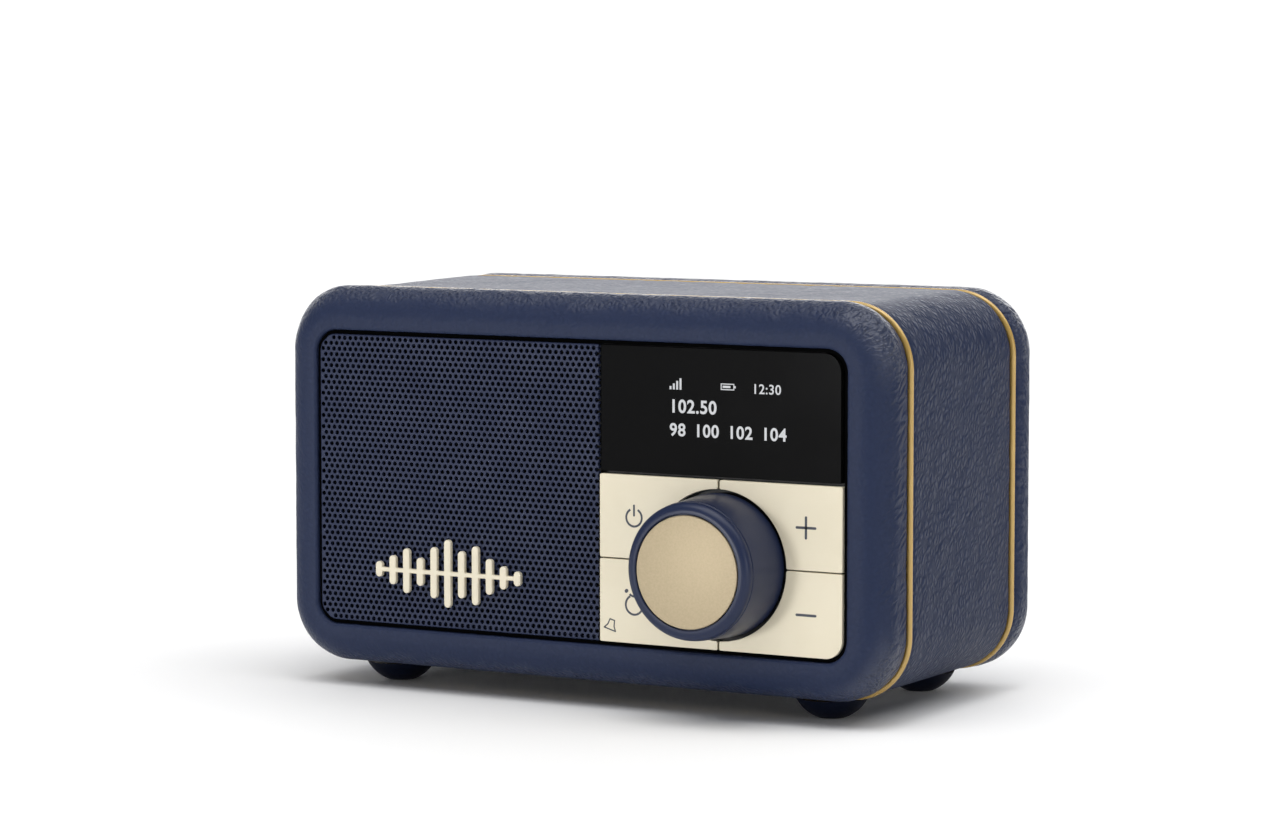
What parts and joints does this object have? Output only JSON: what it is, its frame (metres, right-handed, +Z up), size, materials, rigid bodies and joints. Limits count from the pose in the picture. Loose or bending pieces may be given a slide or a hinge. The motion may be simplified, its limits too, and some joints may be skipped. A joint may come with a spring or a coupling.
{
  "type": "leather portable radio",
  "caption": "Compact portable radio in grained leather with metallic piping, a perforated speaker grille, a display, push keys, a front rotary knob and a telescopic aerial.",
  "frame": {"origin": "on the surface that the feet stand on, at the middle of the radio's width and of its whole depth from the knob's face to the folded aerial", "axes": "+X to the right seen from the front, +Y towards the back, +Z up; the knob and the display face -Y"},
  "size_m": [0.1308, 0.0834, 0.0773],
  "materials": {
    "navy_leather": "pebbled grain, semi-matt",
    "gold_piping": "metallised gold cord",
    "frame_wood": "bare fibreboard, hidden under the leather",
    "navy_metal": "satin, perforated",
    "navy_plastic": "satin",
    "black_plastic": "fine texture",
    "black_gloss": "polished",
    "cream_plastic": "fine texture, satin",
    "champagne_metal": "fine blasted satin",
    "steel": "plated",
    "chrome": "bright",
    "ferrite": "matt ceramic grey",
    "circuit_board": "solder resist",
    "copper_coil": "enamelled wire",
    "paper_cone": "treated paper",
    "rubber": "matt",
    "amber_cloth": "resin-treated cloth",
    "cell_wrap": "shrink film over the cell's can"
  },
  "bodies": {
    "cabinet": {"cabinet_leather": "navy_leather", "cabinet_shell": "frame_wood", "front_frame_core": "frame_wood", "front_frame_leather": "navy_leather", "rear_frame_core": "frame_wood", "rear_frame_leather": "navy_leather", "front_piping": "gold_piping", "rear_piping": "gold_piping", "front_baffle": "black_plastic", "front_gasket": "rubber", "speaker_grille": "navy_metal", "grille_badge": "cream_plastic", "display_window": "black_gloss", "display_module": "black_gloss", "control_board": "circuit_board", "encoder_body": "steel", "speaker_basket": "steel", "speaker_surround": "rubber", "speaker_top_plate": "steel", "speaker_magnet": "ferrite", "speaker_yoke": "steel", "speaker_spider": "amber_cloth", "passive_surround": "rubber", "rear_panel": "navy_plastic", "rear_grille": "navy_metal", "screw_low_left": "steel", "screw_low_right": "steel", "screw_top_left": "steel", "screw_top_right": "steel", "main_board": "circuit_board", "tuner_can": "steel", "usb_socket": "steel", "headphone_jack": "black_plastic", "battery_cell": "cell_wrap", "battery_cradle": "black_plastic", "speaker_lead": "rubber", "battery_lead": "rubber", "aerial_socket": "chrome", "foot_front_left": "rubber", "foot_front_right": "rubber", "foot_rear_left": "rubber", "foot_rear_right": "rubber"},
    "knob_plunger": {"encoder_plunger": "black_plastic"},
    "knob": {"encoder_shaft": "steel", "knob_body": "navy_plastic", "knob_insert": "champagne_metal"},
    "key_power": {"button_power": "cream_plastic"},
    "key_alarm": {"button_alarm": "cream_plastic"},
    "key_volume_up": {"button_volume_up": "cream_plastic"},
    "key_volume_down": {"button_volume_down": "cream_plastic"},
    "cone": {"speaker_cone": "paper_cone", "speaker_dust_cap": "paper_cone", "voice_coil": "copper_coil"},
    "radiator": {"passive_plate": "ferrite"},
    "aerial_base": {"aerial_swivel": "chrome"},
    "aerial_mast": {"aerial_tube_1": "chrome", "aerial_pin": "steel"},
    "aerial_second": {"aerial_tube_2": "chrome"},
    "aerial_third": {"aerial_tube_3": "chrome"},
    "aerial_tip": {"aerial_rod": "chrome"}
  },
  "joints": [
    {"name": "knob_push", "type": "slide", "parent": "cabinet", "child": "knob_plunger", "axis": [0, 1, 0], "range_m": [0, 0.0008], "stiffness_N_per_m": 3000},
    {"name": "knob_turn", "type": "hinge", "parent": "knob_plunger", "child": "knob", "pos_m": [0.0311, -0.02975, 0.0287], "axis": [0, 1, 0], "continuous": true},
    {"name": "power_press", "type": "slide", "parent": "cabinet", "child": "key_power", "axis": [0, 1, 0], "range_m": [0, 0.0005], "stiffness_N_per_m": 1500},
    {"name": "alarm_press", "type": "slide", "parent": "cabinet", "child": "key_alarm", "axis": [0, 1, 0], "range_m": [0, 0.0005], "stiffness_N_per_m": 1500},
    {"name": "volume_up_press", "type": "slide", "parent": "cabinet", "child": "key_volume_up", "axis": [0, 1, 0], "range_m": [0, 0.0005], "stiffness_N_per_m": 1500},
    {"name": "volume_down_press", "type": "slide", "parent": "cabinet", "child": "key_volume_down", "axis": [0, 1, 0], "range_m": [0, 0.0005], "stiffness_N_per_m": 1500},
    {"name": "cone_excursion", "type": "slide", "parent": "cabinet", "child": "cone", "axis": [0, 1, 0], "range_m": [-0.001, 0.001], "stiffness_N_per_m": 1000, "deforming": ["speaker_surround", "speaker_spider"]},
    {"name": "radiator_excursion", "type": "slide", "parent": "cabinet", "child": "radiator", "axis": [0, 1, 0], "range_m": [-0.0015, 0.0015], "stiffness_N_per_m": 600, "deforming": ["passive_surround"]},
    {"name": "aerial_swivel_turn", "type": "hinge", "parent": "cabinet", "child": "aerial_base", "pos_m": [0.044, 0.03915, 0.06], "axis": [0, 1, 0], "range_deg": [0, 180]},
    {"name": "aerial_tilt", "type": "hinge", "parent": "aerial_base", "child": "aerial_mast", "pos_m": [0.044, 0.03915, 0.06], "axis": [0, 0, -1], "range_deg": [0, 90]},
    {"name": "aerial_slide_2", "type": "slide", "parent": "aerial_mast", "child": "aerial_second", "axis": [-1, 0, 0], "range_m": [0, 0.08]},
    {"name": "aerial_slide_3", "type": "slide", "parent": "aerial_second", "child": "aerial_third", "axis": [-1, 0, 0], "range_m": [0, 0.08]},
    {"name": "aerial_slide_tip", "type": "slide", "parent": "aerial_third", "child": "aerial_tip", "axis": [-1, 0, 0], "range_m": [0, 0.08]}
  ]
}
